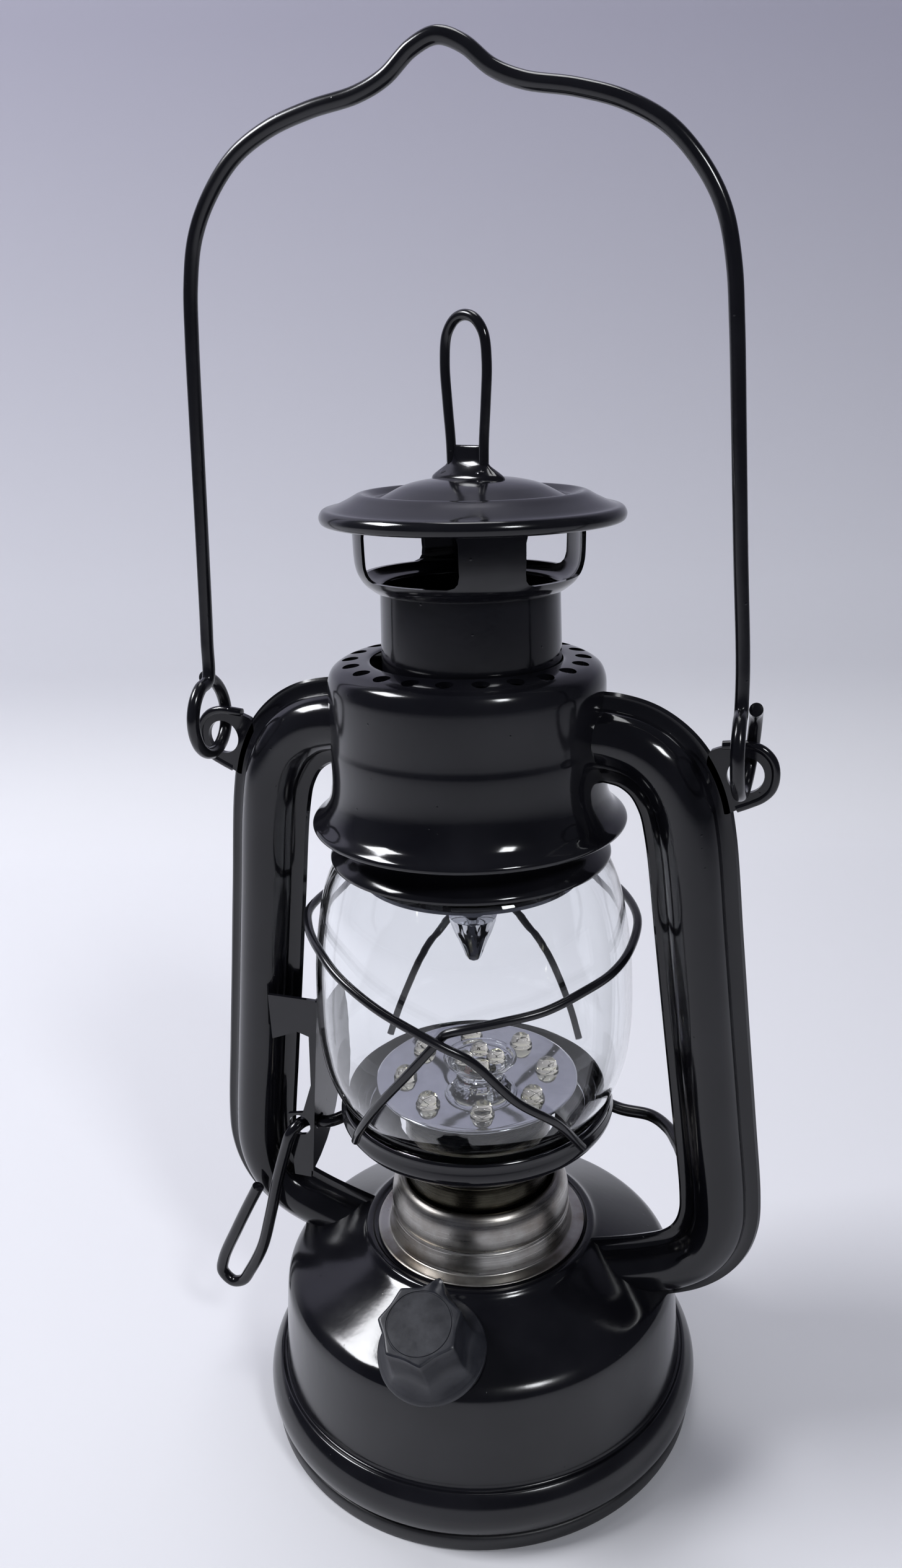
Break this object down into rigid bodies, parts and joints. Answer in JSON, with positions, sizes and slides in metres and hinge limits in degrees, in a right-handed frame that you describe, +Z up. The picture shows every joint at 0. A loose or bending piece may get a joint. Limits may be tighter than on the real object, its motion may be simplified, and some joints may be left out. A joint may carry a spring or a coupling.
{
  "type": "barn lantern",
  "caption": "Hurricane barn lantern with a bail, side tubes, vented air chamber, sliding hood, lift-up glass globe in guard wires, lift crank, dimmer knob and battery lamps in a round fount.",
  "frame": {"origin": "centre of the base on the surface the lantern stands on", "axes": "+Z up; the side tubes lie in the XZ plane; the dimmer knob faces -Y and the lift crank's handle is on the -X side"},
  "size_m": [0.1461, 0.1163, 0.3076],
  "materials": {
    "black_enamel": "glossy black enamel on pressed sheet steel, with dust specks and a few runs",
    "black_wire": "glossy black enamel on steel wire",
    "collar_tin": "satin tinned steel with small pits",
    "dark_tin": "dull dark tinned steel with brown patina",
    "mirror_tin": "bright silvered reflector",
    "clear_glass": "clear blown glass",
    "clear_plastic": "clear faceted plastic",
    "led_epoxy": "clear epoxy with a pale yellow phosphor",
    "base_plastic": "satin black moulded plastic",
    "knob_plastic": "dusty satin black moulded plastic",
    "spring_steel": "plated spring steel",
    "cell_jacket": "plain cell jacket",
    "circuit_board": "green circuit board",
    "red_lead": "red insulated lead",
    "black_lead": "black insulated lead"
  },
  "bodies": {
    "frame": {"fount_shell": "black_enamel", "base_ring": "base_plastic", "base_screw_1": "spring_steel", "base_screw_2": "spring_steel", "base_screw_3": "spring_steel", "battery_cradle": "base_plastic", "battery_cell_1": "cell_jacket", "battery_cell_2": "cell_jacket", "contact_link": "spring_steel", "contact_plate_1": "spring_steel", "contact_plate_2": "spring_steel", "dimmer_pot": "dark_tin", "driver_board": "circuit_board", "burner_collar": "collar_tin", "lamp_neck": "dark_tin", "led_disc": "mirror_tin", "led_outer_1": "led_epoxy", "led_outer_2": "led_epoxy", "led_outer_3": "led_epoxy", "led_outer_4": "led_epoxy", "led_outer_5": "led_epoxy", "led_outer_6": "led_epoxy", "led_outer_7": "led_epoxy", "led_outer_8": "led_epoxy", "led_inner_1": "led_epoxy", "led_inner_2": "led_epoxy", "led_inner_3": "led_epoxy", "led_inner_4": "led_epoxy", "centre_cup": "clear_plastic", "side_tube_left": "black_enamel", "side_tube_right": "black_enamel", "air_chamber": "black_enamel", "crank_bracket": "black_enamel", "lamp_lead_red": "red_lead", "lamp_lead_black": "black_lead"},
    "globe_carriage": {"globe_holder": "black_enamel", "globe": "clear_glass", "guard_wire_a": "black_wire", "guard_wire_b": "black_wire"},
    "hood_group": {"hood": "black_enamel", "hood_basket": "black_enamel", "chimney_tube": "black_enamel", "globe_top_plate": "black_enamel", "reflector_disc": "mirror_tin", "reflector_cone": "mirror_tin", "disc_strap_1": "spring_steel", "disc_strap_2": "spring_steel", "disc_strap_3": "spring_steel", "finger_loop": "black_wire", "loop_strap": "black_enamel", "chimney_spring": "spring_steel"},
    "crank": {"lift_crank": "black_wire"},
    "dimmer": {"dimmer_knob": "knob_plastic", "dimmer_shaft": "spring_steel"},
    "battery_cover": {"battery_cover": "base_plastic"},
    "bail": {"bail_handle": "black_wire"}
  },
  "joints": [
    {"name": "bail_swing", "type": "hinge", "parent": "frame", "child": "bail", "pos_m": [0, -0.0055, 0.1862], "axis": [1, 0, 0], "range_deg": [-105, 150]},
    {"name": "globe_slide", "type": "slide", "parent": "frame", "child": "globe_carriage", "axis": [0, 0, 1], "range_m": [-0.008, 0]},
    {"name": "crank_turn", "type": "hinge", "parent": "frame", "child": "crank", "pos_m": [-0.0426, -0.005, 0.08], "axis": [0.9965, 0.0837, -0.0041], "range_deg": [-22.1, 0]},
    {"name": "hood_slide", "type": "slide", "parent": "globe_carriage", "child": "hood_group", "axis": [0, 0, 1], "range_m": [0, 0.008], "stiffness_N_per_m": 60, "springref_m": -0.02, "deforming": ["chimney_spring"]},
    {"name": "dimmer_turn", "type": "hinge", "parent": "frame", "child": "dimmer", "pos_m": [0.00147, -0.04197, 0.04769], "axis": [0.0159, -0.454, 0.8908], "range_deg": [-135, 135]},
    {"name": "cover_turn", "type": "hinge", "parent": "frame", "child": "battery_cover", "pos_m": [0, 0, 0.001], "axis": [0, 0, 1], "range_deg": [0, 25]}
  ],
  "couplings": [
    {"joint": "crank_turn", "follows": "globe_slide", "rad_per_m": 48}
  ]
}
